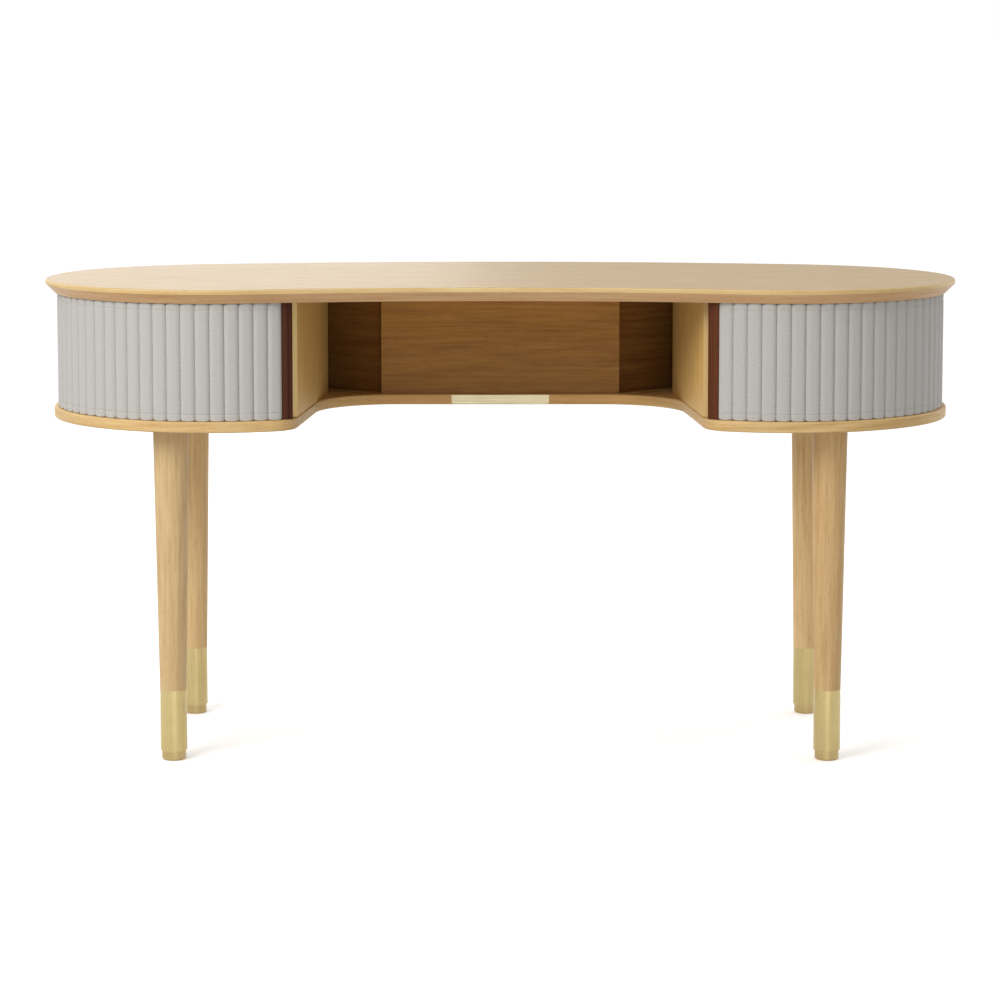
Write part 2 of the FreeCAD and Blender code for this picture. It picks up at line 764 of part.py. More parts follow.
slats = new_body("left_tambour_slats")
slats.AllowCompound = True
SLAT = Frame(-end_x, end_y, slat_turn)
slat_sketch = level_sketch(slats, slat_low, SLAT)
add_loop(slat_sketch, crowned_loop(back_r, face_r, size("slat_crown"), size("slat_angle")))
slat_pad = pad(slats, slat_sketch, slat_tall)
tongue_sketch = level_sketch(slats, tongue_low, SLAT)
tongue_out = back_r + size("tongue_thick")
tongue_half = half_width(back_r, size("slat_angle")) - size("tongue_shoulder")
add_loop(tongue_sketch, rectangle(back_r, tongue_out, -tongue_half, tongue_half))
tongue_pad = pad(slats, tongue_sketch, tongue_tall)
curtain = slats.newObject("PartDesign::PolarPattern", "left_tambour_pattern")
curtain.Originals = [slat_pad, tongue_pad]
curtain.Axis = (slat_sketch, ["N_Axis"])
curtain.Reversed = True
curtain_sweep = size("slat_angle") * (size("slat_count") - 1)
curtain.Angle = curtain_sweep.value
curtain.setExpression("Angle", curtain_sweep.text)
curtain.Occurrences = int(size("slat_count").value)
curtain.setExpression("Occurrences", size("slat_count").text)
slats.Tip = curtain
doc.recompute()
keep(slats, right_hand("right_tambour_slats", slats))

lead = new_body("left_lead_slat")
LEAD = Frame(-end_x, end_y, lead_turn)
lead_sketch = level_sketch(lead, slat_low, LEAD)
add_loop(lead_sketch, crowned_loop(back_r, face_r, size("lead_crown"), size("lead_slat_angle")))
pad(lead, lead_sketch, slat_tall)
lead_tongue = level_sketch(lead, tongue_low, LEAD)
lead_tongue_far = half_width(back_r, size("lead_slat_angle")) - size("tongue_shoulder")
add_loop(lead_tongue, rectangle(back_r, tongue_out, -lead_tongue_far, size("lead_tongue_near")))
pad(lead, lead_tongue, tongue_tall)
grip_sketch = level_sketch(lead, slat_low + slat_tall, LEAD)
add_circle(grip_sketch, face_r + size("grip_radius") / 4, size("grip_offset"), size("grip_radius"))
cut(lead, grip_sketch, slat_tall)
keep(lead, right_hand("right_lead_slat", lead))

canvas = new_body("left_tambour_canvas")
canvas_sketch = level_sketch(canvas, base_level + size("canvas_margin"), LEFT_END)
canvas_tail = -size("lead_angle") - size("lead_slat_angle") - size("slat_angle") * size("slat_count")
canvas_lead = -size("lead_angle") - size("lead_slat_angle") / 2
add_loop(canvas_sketch, ring_sector(canvas_in, canvas_out, canvas_tail, canvas_lead))
pad(canvas, canvas_sketch, room - 2 * size("canvas_margin"))
keep(canvas, right_hand("right_tambour_canvas", canvas))

# Legs, ferrules, feet and their hardware
foot_top = size("foot_tall")
spigot_low = foot_top + size("ferrule_floor")
spigot_r = size("leg_end_radius") - size("ferrule_wall") - size("glue_gap")
insert_high = spigot_low + size("insert_tall")
bore = size("stud_radius") + size("thread_fit")
insert_hole = size("insert_radius") + size("thread_fit")
bolt_low = base_under - size("bolt_bite")
bolt_high = base_level - size("bolt_short")
nut_low = base_level - size("nut_tall")
flange_low = base_level - size("nut_flange_thick")
foot_edge = size("foot_radius") - size("foot_chamfer")
inserts = []
bolts = []
nuts = []
for place, x, y in leg_places:
    leg = turned(place + "_leg", x, y, [
        (insert_hole, spigot_low),
        (spigot_r, spigot_low),
        (spigot_r, size("ferrule_level")),
        (size("leg_end_radius"), size("ferrule_level")),
        (size("leg_top_radius"), base_under),
        (bore, base_under),
        (bore, bolt_low),
        (0, bolt_low),
        (0, insert_high + size("insert_room")),
        (insert_hole, insert_high + size("insert_room")),
    ])
    ferrule = turned(place + "_ferrule", x, y, [
        (size("ferrule_hole"), foot_top),
        (size("leg_end_radius"), foot_top),
        (size("leg_end_radius"), size("ferrule_level")),
        (size("leg_end_radius") - size("ferrule_wall"), size("ferrule_level")),
        (size("leg_end_radius") - size("ferrule_wall"), spigot_low),
        (size("ferrule_hole"), spigot_low),
    ])
    foot = turned(place + "_foot", x, y, [
        (0, 0),
        (foot_edge, 0),
        (size("foot_radius"), size("foot_chamfer")),
        (size("foot_radius"), foot_top),
        (size("stud_radius"), foot_top),
        (size("stud_radius"), foot_top + size("stud_reach")),
        (0, foot_top + size("stud_reach")),
    ])
    inserts.append(turned(place + "_insert", x, y, [
        (bore, spigot_low),
        (size("insert_radius"), spigot_low),
        (size("insert_radius"), insert_high),
        (bore, insert_high),
    ]))
    bolts.append(turned(place + "_bolt", x, y, [
        (0, bolt_low),
        (size("stud_radius"), bolt_low),
        (size("stud_radius"), bolt_high),
        (0, bolt_high),
    ]))
    nuts.append(turned(place + "_nut", x, y, [
        (bore, nut_low),
        (size("nut_barrel_radius"), nut_low),
        (size("nut_barrel_radius"), flange_low),
        (size("nut_flange_radius"), flange_low),
        (size("nut_flange_radius"), base_level),
        (bore, base_level),
    ]))
    keep(leg, ferrule, foot)
keep(group("foot_inserts", inserts), group("leg_hanger_bolts", bolts), group("leg_tee_nuts", nuts))

# Check every object, then write one STEP file per piece
doc.recompute()
for item in doc.Objects:
    if "Invalid" in item.State or "Error" in item.State:
        raise RuntimeError(item.Label + " did not recompute")
os.makedirs("parts", exist_ok=True)
for piece in EXPORTS:
    if piece.Shape.isNull() or not piece.Shape.isValid() or not piece.Shape.Solids:
        raise RuntimeError(piece.Label + " has no valid solid")
    piece.Shape.exportStep("parts/%s.step" % piece.Label)
    print(piece.Label, len(piece.Shape.Solids), round(piece.Shape.Volume / 1000.0, 2))
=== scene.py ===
import json
import math

import bmesh
import bpy
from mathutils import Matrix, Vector, noise


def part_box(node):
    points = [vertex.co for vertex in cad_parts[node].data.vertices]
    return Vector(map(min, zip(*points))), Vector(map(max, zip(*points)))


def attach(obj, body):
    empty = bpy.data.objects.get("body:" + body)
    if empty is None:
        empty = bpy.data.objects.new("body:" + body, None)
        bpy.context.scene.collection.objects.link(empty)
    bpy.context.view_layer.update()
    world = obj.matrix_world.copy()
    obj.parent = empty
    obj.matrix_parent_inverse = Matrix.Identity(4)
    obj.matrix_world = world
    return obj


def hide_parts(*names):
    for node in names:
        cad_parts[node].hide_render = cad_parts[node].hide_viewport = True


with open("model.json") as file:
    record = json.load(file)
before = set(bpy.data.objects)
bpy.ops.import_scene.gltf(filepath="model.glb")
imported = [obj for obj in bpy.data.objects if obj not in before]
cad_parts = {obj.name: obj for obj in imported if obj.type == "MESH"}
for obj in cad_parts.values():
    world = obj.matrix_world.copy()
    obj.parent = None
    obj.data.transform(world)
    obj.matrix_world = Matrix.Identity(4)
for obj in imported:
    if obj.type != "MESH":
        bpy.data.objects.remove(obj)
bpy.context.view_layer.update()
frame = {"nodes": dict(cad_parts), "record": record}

SIDES = ("left", "right")
CORNERS = ("front_left", "front_right", "rear_left", "rear_right")
WHITE = (1.0, 1.0, 1.0, 1.0)

# Grain directions: 1 along an axis that the grain follows
ALONG_X = (1, 0, 0)
ALONG_Z = (0, 0, 1)
ROUND_RIM = (1, 1, 0)

# Wood figure: noise scales along and across the grain, per metre
DRIFT_SCALE = (2.5, 4.0)
FIGURE_SCALE = (1.5, 24.0)
STREAK_SCALE = (7.0, 150.0)
FIBRE_SCALE = (18.0, 520.0)
PORE_SCALE = (75.0, 1000.0)
STAIN_STREAK_SCALE = (12.0, 700.0)
STAIN_VEIN_SCALE = (5.0, 120.0)
# How far the figure wanders, how many rings it has, and how much each layer darkens the wood
DRIFT_REACH = 0.012
RING_COUNT = 7.0
RING_DEPTH = 0.2
FAINT_RING_DEPTH = 0.1
STREAK_DEPTH = 0.4
FAINT_STREAK_DEPTH = 0.25
FIBRE_DEPTH = 0.3
PORE_DEPTH = 0.3
PORE_SINK = 0.7
# Parts of a noise's range that a layer uses
NOISE_BAND = (0.3, 0.7)
LATE_WOOD_BAND = (0.15, 0.5)
PORE_BAND = (0.60, 0.70)
FIBRE_BAND = (0.25, 0.75)
# Roughness and shine, how the fibres spread the roughness, and the strength and depth of the bumps
WOOD_FINISH = (0.5, 0.25)
TOP_FINISH = (0.42, 0.2)
WOOD_SPREAD = (-0.05, 0.09)
WOOD_BUMP = (0.14, 0.0004)
# Parts of the normal's range over which one face's wood passes into the next
LEVEL_BAND = (0.7, 0.95)
UPWARD_BAND = (0.80, 0.97)
DOWNWARD_BAND = (-0.1, -0.5)
FRONT_BAND = (-0.4, -0.7)
KNEE_FRONT_BAND = (-0.2, -0.6)

# Stained wood: shares of streak and vein in the colour, and its surface
STAIN_SHARES = (0.7, 0.3)
STAIN_ROUGHNESS = (0.5, 0.6)
STAIN_SHINE = 0.15
STAIN_BUMP = (0.2, 0.0003)

# Cloth: yarn scales per metre, what each layer adds to the colour, and its surface
HEATHER_SCALE = (900.0, 260.0, 1.0)
FUZZ_SCALE = 2600.0
WEAVE_SHARE = 0.34
HEATHER_SHARE = 0.5
FUZZ_HEIGHT = 0.8
CLOTH_BAND = (0.15, 0.75)
CLOTH_ROUGHNESS = (0.82, 0.98)
CLOTH_SHINE = 0.25
CLOTH_BUMP_DEPTH = 0.0004
SHEEN_ROUGHNESS = 0.5

# Canvas: slub scales per metre, what each layer adds to the colour, and its surface
SLUB_SCALE = (20.0, 500.0)
CANVAS_WEAVE_SHARE = 0.5
SLUB_SHARE = 0.6
CANVAS_BAND = (0.1, 0.9)
CANVAS_ROUGHNESS = (0.8, 0.96)
CANVAS_BUMP = (0.4, 0.0003)

# Metal: scratch and tarnish scales per metre, their shares in the colour, and its surface
SCRATCH_SCALE = (14.0, 900.0)
TARNISH_SCALE = 26.0
METAL_SHARES = (0.7, 0.3)
METAL_BAND = (0.35, 0.65)
METAL_SPREAD = (-0.06, 0.08)
METAL_BUMP = (0.12, 0.0002)

# Painted shade and painted light that multiply a board's colour, and the half-width of the knee edge
# that gets its own painted shade
KNEE_REACH = 0.2
KNEE_FADE = 0.08
# Painted shade, darker and warmer, on the middle of the knee edge set back under the top
KNEE_PAINTED_SHADE = (0.96, 0.82, 0.67, 1.0)
# Painted shade towards an upright board's foot and painted light at its head
FOOT_PAINTED_SHADE = 0.74
HEAD_PAINTED_LIGHT = 1.26
# Painted light at a divider's front and painted shade towards its rear
FRONT_PAINTED_LIGHT = 1.06
REAR_PAINTED_SHADE = 0.8

# Tambour curtain, in metres and degrees: the slats, the hems, the rounded ends and the tongues
SLAT_COUNT = 37
SLAT_ANGLE = 5.0
LEAD_ANGLE = 60.0
LEAD_SLAT_ANGLE = 4.1
SLAT_THICK = 0.012
SLAT_CROWN = 0.0035
SLAT_GAP = 0.0003
SLAT_PLAY = 0.0006
CROWN_POWER = 3.7
FACE_STEPS = 18
CORNER_ROUND = 0.0028
CORNER_STEPS = 5
HEM_DISTANCE = 0.0102
HEM_HALF_WIDTH = 0.0011
HEM_SINK = 0.0006
# Across a hem line: places in half-widths, and the share of the sink at each
HEM_PROFILE = ((-1.6, 0.0), (-1.0, 0.0), (-0.4, 1.0), (0.4, 1.0), (1.0, 0.0), (1.6, 0.0))
PLAIN_STEPS = 14
TONGUE_THICK = 0.007
TONGUE_SHOULDER = 0.0013
TONGUE_BEVEL = 0.001
SHARP_ANGLE = 48
# Unevenness of the wool: its depth, waves per metre across and up, and steps from slat to slat
CLOTH_WOBBLE = 0.00022
WOBBLE_ACROSS = 90
WOBBLE_UP = 45
WOBBLE_STEPS = (7.3, 3.1)


def tint(red, green, blue):
    """Linear colour of an 8-bit screen colour."""
    channels = []
    for value in (red, green, blue):
        share = value / 255
        channels.append(share / 12.92 if share <= 0.04045 else ((share + 0.055) / 1.055) ** 2.4)
    return (*channels, 1.0)


class Shader:
    """A material's node tree, built one node at a time."""

    def __init__(self, name):
        self.material = bpy.data.materials.new(name)
        self.material.use_nodes = True
        self.tree = self.material.node_tree
        self.tree.nodes.clear()

    def node(self, kind, inputs=None, **settings):
        made = self.tree.nodes.new("ShaderNode" + kind)
        for key, value in settings.items():
            setattr(made, key, value)
        for key, value in (inputs or {}).items():
            self.feed(made.inputs[key], value)
        return made

    def feed(self, socket, value):
        if isinstance(value, bpy.types.NodeSocket):
            self.tree.links.new(value, socket)
        else:
            socket.default_value = value

    def place(self):
        return self.node("TexCoord").outputs["Object"]

    def axes(self, vector):
        return self.node("SeparateXYZ", {0: vector}).outputs

    def facing(self):
        return self.axes(self.node("NewGeometry").outputs["Normal"])

    def math(self, operation, first, second=0.0):
        return self.node("Math", {0: first, 1: second}, operation=operation).outputs[0]

    def blend(self, layers, shares):
        first, second = (self.math("MULTIPLY", *pair) for pair in zip(layers, shares))
        return self.math("ADD", first, second)

    def mix(self, share, first, second, blend="MIX"):
        made = self.node("Mix", data_type="RGBA", blend_type=blend)
        self.feed(made.inputs[0], share)
        self.feed(made.inputs[6], first)
        self.feed(made.inputs[7], second)
        return made.outputs[2]

    def remap(self, value, low, high, to_low=0.0, to_high=1.0):
        inputs = {0: value, 1: low, 2: high, 3: to_low, 4: to_high}
        return self.node("MapRange", inputs).outputs[0]

    def noise(self, place, scale, detail):
        inputs = {"Vector": place, "Scale": scale, "Detail": detail}
        return self.node("TexNoise", inputs).outputs[0]

    def stretched_noise(self, place, grain, along, across, detail=2.0, distortion=0.0):
        scale = [along if follows else across for follows in grain]
        placed = self.node("Mapping", {"Vector": place, "Scale": scale}).outputs[0]
        inputs = {"Vector": placed, "Scale": 1.0, "Detail": detail, "Distortion": distortion}
        return self.node("TexNoise", inputs).outputs[0]

    def bump(self, height, strength, distance):
        inputs = {"Height": height, "Strength": strength, "Distance": distance}
        return self.node("Bump", inputs).outputs[0]

    def finish(self, inputs):
        surface = self.node("BsdfPrincipled", inputs)
        output = self.node("OutputMaterial")
        self.tree.links.new(surface.outputs[0], output.inputs[0])
        return self.material


# Wood
def oak_colour(shader, place, grain, light, dark, ring_depth=RING_DEPTH, streak_depth=STREAK_DEPTH):
    """Colour, fibre and height: rings as soft level lines of a noise, then streaks, fibres and pores."""
    drift = shader.stretched_noise(place, grain, *DRIFT_SCALE)
    drift = shader.math("MULTIPLY", drift, DRIFT_REACH)
    place = shader.node("VectorMath", {0: place, 1: drift}, operation="ADD").outputs[0]
    figure = shader.stretched_noise(place, grain, *FIGURE_SCALE, detail=1.0)
    ring = shader.math("PINGPONG", shader.math("MULTIPLY", figure, RING_COUNT), 0.5)
    late_wood = shader.remap(ring, *LATE_WOOD_BAND)
    streak = shader.stretched_noise(place, grain, *STREAK_SCALE, detail=4.0)
    fibre = shader.stretched_noise(place, grain, *FIBRE_SCALE, detail=2.0)
    pore = shader.stretched_noise(place, grain, *PORE_SCALE, detail=1.0)
    pore = shader.remap(pore, *PORE_BAND)
    share = shader.math("MULTIPLY", late_wood, ring_depth)
    share = shader.math("ADD", share, shader.remap(streak, *NOISE_BAND, 0.0, streak_depth))
    share = shader.math("ADD", share, shader.remap(fibre, *NOISE_BAND, 0.0, FIBRE_DEPTH))
    share = shader.math("ADD", share, shader.math("MULTIPLY", pore, PORE_DEPTH))
    colour = shader.mix(shader.remap(share, 0.0, 1.0), light, dark)
    height = shader.math("SUBTRACT", fibre, shader.math("MULTIPLY", pore, PORE_SINK))
    return colour, fibre, height


def wood_surface(shader, colour, fibre, height, finish=WOOD_FINISH):
    """Finished wood, whose roughness follows the fibres."""
    rough, shine = finish
    roughness = [rough + spread for spread in WOOD_SPREAD]
    return shader.finish({
        "Base Color": colour,
        "Roughness": shader.remap(fibre, *FIBRE_BAND, *roughness),
        "Specular IOR Level": shine,
        "Normal": shader.bump(height, *WOOD_BUMP),
    })


def oak(name, grain, light, dark, finish=WOOD_FINISH, **depths):
    """Plain oak with its grain along one direction."""
    shader = Shader(name)
    colour, fibre, height = oak_colour(shader, shader.place(), grain, light, dark, **depths)
    return wood_surface(shader, colour, fibre, height, finish)


def upright_oak_painted_shade(name, grain, light, dark, board):
    """Oak veneer with painted light at the head of an upright board and painted shade towards its foot.
    """
    shader = Shader(name)
    place = shader.place()
    colour, fibre, height = oak_colour(shader, place, grain, light, dark)
    foot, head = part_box(board)
    # Painted light at the board's head, painted shade towards its foot
    painted_light_and_shade = shader.remap(shader.axes(place)[2], foot.z, head.z, FOOT_PAINTED_SHADE, HEAD_PAINTED_LIGHT)
    return wood_surface(shader, shader.mix(1.0, colour, painted_light_and_shade, "MULTIPLY"), fibre, height)


def slab_oak(name, light, dark, knee_painted_shade):
    """Board with straight grain on its flat faces, and painted shade on its edge at the knee space."""
    shader = Shader(name)
    place = shader.place()
    flat, fibre, flat_height = oak_colour(shader, place, ALONG_X, light, dark)
    edge, _, edge_height = oak_colour(shader, place, ROUND_RIM, light, dark)
    facing = shader.facing()
    across = shader.math("ABSOLUTE", shader.axes(place)[0])
    # Painted shade: the middle of the front-facing knee edge is darkened and warmed
    middle = shader.remap(across, KNEE_REACH, KNEE_REACH + KNEE_FADE, 1.0, 0.0)
    frontal = shader.remap(facing[1], *KNEE_FRONT_BAND)
    edge = shader.mix(shader.math("MULTIPLY", middle, frontal), edge, knee_painted_shade, "MULTIPLY")
    level = shader.remap(shader.math("ABSOLUTE", facing[2]), *LEVEL_BAND)
    height = shader.math("ADD", flat_height, edge_height)
    return wood_surface(shader, shader.mix(level, edge, flat), fibre, height)


def lipped_oak(name, top, edge, bevel):
    """Veneer carried over the upper face, solid oak on the edge, warmer on the bevel below."""
    shader = Shader(name)
    place = shader.place()
    veneer, fibre, veneer_height = oak_colour(shader, place, ALONG_X, *top)
    rim, _, rim_height = oak_colour(shader, place, ROUND_RIM, *edge)
    under, _, _ = oak_colour(shader, place, ROUND_RIM, *bevel)
    facing = shader.facing()
    upward = shader.remap(facing[2], *UPWARD_BAND)
    downward = shader.remap(facing[2], *DOWNWARD_BAND)
    colour = shader.mix(upward, shader.mix(downward, rim, under), veneer)
    height = shader.math("ADD", veneer_height, rim_height)
    return wood_surface(shader, colour, fibre, height, TOP_FINISH)


def fronted_oak(name, face, lipping, board):
    """Upright oak panel with painted light at the front and painted shade towards the rear, and a
    lipping on its front edge.
    """
    shader = Shader(name)
    place = shader.place()
    faint = {"ring_depth": FAINT_RING_DEPTH, "streak_depth": FAINT_STREAK_DEPTH}
    veneer, fibre, height = oak_colour(shader, place, ALONG_Z, *face, **faint)
    edge, _, _ = oak_colour(shader, place, ALONG_Z, *lipping, ring_depth=FAINT_RING_DEPTH)
    front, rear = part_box(board)
    # Painted light at the front of the board, painted shade towards its rear
    painted_light_and_shade = shader.remap(shader.axes(place)[1], front.y, rear.y, FRONT_PAINTED_LIGHT, REAR_PAINTED_SHADE)
    veneer = shader.mix(1.0, veneer, painted_light_and_shade, "MULTIPLY")
    frontal = shader.remap(shader.facing()[1], *FRONT_BAND)
    return wood_surface(shader, shader.mix(frontal, veneer, edge), fibre, height)


def stained_wood(name, light, dark):
    """Dark stained hardwood with upright streaks and veins."""
    shader = Shader(name)
    place = shader.place()
    streak = shader.stretched_noise(place, ALONG_Z, *STAIN_STREAK_SCALE, detail=3.0)
    vein = shader.stretched_noise(place, ALONG_Z, *STAIN_VEIN_SCALE, detail=2.0, distortion=0.4)
    share = shader.blend((streak, vein), STAIN_SHARES)
    return shader.finish({
        "Base Color": shader.mix(shader.remap(share, *NOISE_BAND), dark, light),
        "Roughness": shader.remap(vein, *NOISE_BAND, *STAIN_ROUGHNESS),
        "Specular IOR Level": STAIN_SHINE,
        "Normal": shader.bump(streak, *STAIN_BUMP),
    })


def cloth(name, light, dark, threads, weave_depth, sheen):
    """Plain weave laid out on the piece's own map, with a heather of lighter and darker yarn."""
    shader = Shader(name)
    flat = shader.node("UVMap", uv_map="cloth").outputs[0]
    axes = shader.axes(flat)
    waves = []
    for axis in (0, 1):
        turns = shader.math("MULTIPLY", axes[axis], threads * math.pi)
        waves.append(shader.math("SINE", turns))
    weave = shader.math("MULTIPLY", waves[0], waves[1])
    placed = shader.node("Mapping", {"Vector": flat, "Scale": HEATHER_SCALE}).outputs[0]
    heather = shader.noise(placed, scale=1.0, detail=3.0)
    fuzz = shader.noise(flat, FUZZ_SCALE, detail=2.0)
    raised = shader.remap(weave, -1.0, 1.0, 0.0, WEAVE_SHARE)
    share = shader.math("ADD", raised, shader.math("MULTIPLY", heather, HEATHER_SHARE))
    height = shader.math("ADD", weave, shader.math("MULTIPLY", fuzz, FUZZ_HEIGHT))
    return shader.finish({
        "Base Color": shader.mix(shader.remap(share, *CLOTH_BAND), dark, light),
        "Roughness": shader.remap(fuzz, *NOISE_BAND, *CLOTH_ROUGHNESS),
        "Normal": shader.bump(height, weave_depth, CLOTH_BUMP_DEPTH),
        "Sheen Weight": sheen,
        "Sheen Roughness": SHEEN_ROUGHNESS,
        "Specular IOR Level": CLOTH_SHINE,
    })


def woven_solid(name, light, dark, threads):
    """Canvas on a bent sheet: threads run up and round it."""
    shader = Shader(name)
    place = shader.place()
    axes = shader.axes(place)
    level = shader.math("SINE", shader.math("MULTIPLY", axes[2], threads * math.pi))
    across = shader.math("ADD", axes[0], axes[1])
    upright = shader.math("SINE", shader.math("MULTIPLY", across, threads * math.pi))
    weave = shader.math("MULTIPLY", level, upright)
    slub = shader.stretched_noise(place, ROUND_RIM, *SLUB_SCALE, detail=2.0)
    raised = shader.remap(weave, -1.0, 1.0, 0.0, CANVAS_WEAVE_SHARE)
    share = shader.math("ADD", raised, shader.math("MULTIPLY", slub, SLUB_SHARE))
    return shader.finish({
        "Base Color": shader.mix(shader.remap(share, *CANVAS_BAND), dark, light),
        "Roughness": shader.remap(slub, *NOISE_BAND, *CANVAS_ROUGHNESS),
        "Normal": shader.bump(weave, *CANVAS_BUMP),
    })


def metal(name, bright, dull, grain, rough):
    """Brushed metal with a faint tarnish."""
    shader = Shader(name)
    place = shader.place()
    scratch = shader.stretched_noise(place, grain, *SCRATCH_SCALE, detail=3.0)
    tarnish = shader.noise(place, TARNISH_SCALE, detail=4.0)
    share = shader.blend((scratch, tarnish), METAL_SHARES)
    roughness = [rough + spread for spread in METAL_SPREAD]
    return shader.finish({
        "Base Color": shader.mix(shader.remap(share, *METAL_BAND), bright, dull),
        "Metallic": 1.0,
        "Roughness": shader.remap(scratch, *NOISE_BAND, *roughness),
        "Normal": shader.bump(scratch, *METAL_BUMP),
    })


# Colour pairs: the lighter and the darker tone of each material
OAK = (tint(222, 190, 134), tint(180, 138, 80))
TOP_OAK = (tint(190, 163, 118), tint(165, 134, 89))
EDGE_OAK = (tint(219, 192, 138), tint(188, 151, 93))
BEVEL_OAK = (tint(226, 186, 138), tint(194, 145, 96))
DIVIDER_OAK = (tint(226, 187, 115), tint(184, 135, 66))
# Centre panel and recess walls: oak painted darker than the rest, as painted shade under the top
PANEL_OAK_PAINTED_SHADE = (tint(175, 121, 43), tint(130, 81, 20))
RECESS_OAK_PAINTED_SHADE = (tint(140, 95, 43), tint(96, 56, 21))
# Divider lippings: the left one painted lighter as painted light, the right one painted darker as
# painted shade, for how the key light falls on each
LEFT_LIPPING_OAK_PAINTED_LIGHT = (tint(244, 216, 150), tint(224, 186, 115))
RIGHT_LIPPING_OAK_PAINTED_SHADE = (tint(216, 182, 124), tint(186, 147, 86))
LINER_OAK = (tint(190, 144, 84), tint(138, 94, 46))
LEFT_LEG_OAK = (tint(219, 191, 142), tint(180, 142, 92))
RIGHT_LEG_OAK = (tint(214, 181, 129), tint(176, 134, 82))
# Rear legs: oak painted lighter as painted light in the shade under the desk
REAR_LEG_OAK_PAINTED_LIGHT = (tint(231, 200, 147), tint(190, 149, 95))
BEECH = (tint(206, 166, 118), tint(176, 132, 88))
# Lead slats: one stain, the left one painted darker as painted shade, the right one painted lighter as
# painted light
LEFT_LEAD_PAINTED_SHADE = (tint(77, 36, 13), tint(60, 27, 9))
RIGHT_LEAD_PAINTED_LIGHT = (tint(97, 50, 22), tint(78, 39, 16))
WOOL = (tint(203, 201, 196), tint(169, 166, 160))
CANVAS = (tint(188, 180, 162), tint(140, 130, 112))
FERRULE_BRASS = (tint(189, 172, 123), tint(177, 158, 109))
FOOT_BRASS = (tint(188, 167, 121), tint(169, 147, 102))
PLATE_BRASS = (tint(193, 184, 153), tint(186, 175, 142))
ZINC = (tint(196, 198, 200), tint(150, 152, 156))
FLOOR = (tint(250, 250, 249), tint(253, 253, 253))

top_veneer = oak("pale_oak_veneer", ALONG_X, *TOP_OAK, TOP_FINISH)
top_lipping = lipped_oak("oak_lipping", TOP_OAK, EDGE_OAK, BEVEL_OAK)
base_oak = slab_oak("oak_base", *OAK, KNEE_PAINTED_SHADE)
rear_oak = oak("oak_rear_panel", ROUND_RIM, *OAK)
divider_oak = {
    "left": fronted_oak("oak_left_divider_painted_light_and_shade", DIVIDER_OAK, LEFT_LIPPING_OAK_PAINTED_LIGHT, "left_divider"),
    "right": fronted_oak("oak_right_divider_painted_light_and_shade", DIVIDER_OAK, RIGHT_LIPPING_OAK_PAINTED_SHADE, "right_divider"),
}
# Centre panel and recess walls carry painted shade, with painted light at their heads
panel_oak_painted_shade = upright_oak_painted_shade("oak_centre_panel_painted_shade", ALONG_X, *PANEL_OAK_PAINTED_SHADE, "centre_panel")
recess_oak_painted_shade = upright_oak_painted_shade("oak_recess_wall_painted_shade", ROUND_RIM, *RECESS_OAK_PAINTED_SHADE, "left_recess_wall")
liner_oak = oak("oak_liner", ROUND_RIM, *LINER_OAK)
left_leg_oak = oak("turned_oak", ALONG_Z, *LEFT_LEG_OAK, ring_depth=FAINT_RING_DEPTH)
right_leg_oak = oak("warm_turned_oak", ALONG_Z, *RIGHT_LEG_OAK, ring_depth=FAINT_RING_DEPTH)
rear_leg_oak_painted_light = oak("rear_turned_oak_painted_light", ALONG_Z, *REAR_LEG_OAK_PAINTED_LIGHT, ring_depth=FAINT_RING_DEPTH)
beech = oak("beech", ALONG_Z, *BEECH, ring_depth=FAINT_RING_DEPTH)
lead_wood = {
    "left": stained_wood("stained_hardwood_painted_shade", *LEFT_LEAD_PAINTED_SHADE),
    "right": stained_wood("stained_hardwood_painted_light", *RIGHT_LEAD_PAINTED_LIGHT),
}
wool = cloth("grey_wool", *WOOL, threads=900.0, weave_depth=0.45, sheen=0.2)
canvas = woven_solid("cotton_canvas", *CANVAS, threads=1100.0)
ferrule_brass = metal("satin_brass", *FERRULE_BRASS, ALONG_Z, rough=0.3)
foot_brass = metal("turned_brass", *FOOT_BRASS, ROUND_RIM, rough=0.4)
plate_brass = metal("pale_brass", *PLATE_BRASS, ALONG_X, rough=0.55)
zinc = metal("zinc_plated_steel", *ZINC, ROUND_RIM, rough=0.32)


def paint(material, *nodes):
    """Give CAD nodes one material."""
    for name in nodes:
        mesh = frame["nodes"][name].data
        mesh.materials.clear()
        mesh.materials.append(material)


paint(top_veneer, "desk_top")
paint(top_lipping, "top_edge_lipping")
paint(base_oak, "base_panel")
paint(panel_oak_painted_shade, "centre_panel")
paint(plate_brass, "front_plate")
paint(rear_oak, "rear_panel")
paint(beech, "panel_dowels")
paint(zinc, "foot_inserts", "leg_hanger_bolts", "leg_tee_nuts")
for side in SIDES:
    paint(divider_oak[side], side + "_divider")
    paint(recess_oak_painted_shade, side + "_recess_wall")
    paint(liner_oak, side + "_pod_liner")
    paint(lead_wood[side], side + "_lead_slat")
    paint(canvas, side + "_tambour_canvas")
paint(left_leg_oak, "front_left_leg")
paint(right_leg_oak, "front_right_leg")
paint(rear_leg_oak_painted_light, "rear_left_leg", "rear_right_leg")
for corner in CORNERS:
    paint(ferrule_brass, corner + "_ferrule")
    paint(foot_brass, corner + "_foot")


# Wool-covered slats
def slat_section(half, half_back):
    """Points (across, height) round one slat, from edge to edge of its crowned face, then the back."""
    shoulder = SLAT_THICK - SLAT_CROWN
    points = []
    for step in range(FACE_STEPS + 1):
        share = math.sin(math.pi * (step / FACE_STEPS - 0.5))
        points.append((half * share, shoulder + SLAT_CROWN * (1 - abs(share) ** CROWN_POWER)))
    points.append((half_back, 0.0))
    points.append((-half_back, 0.0))
    return points


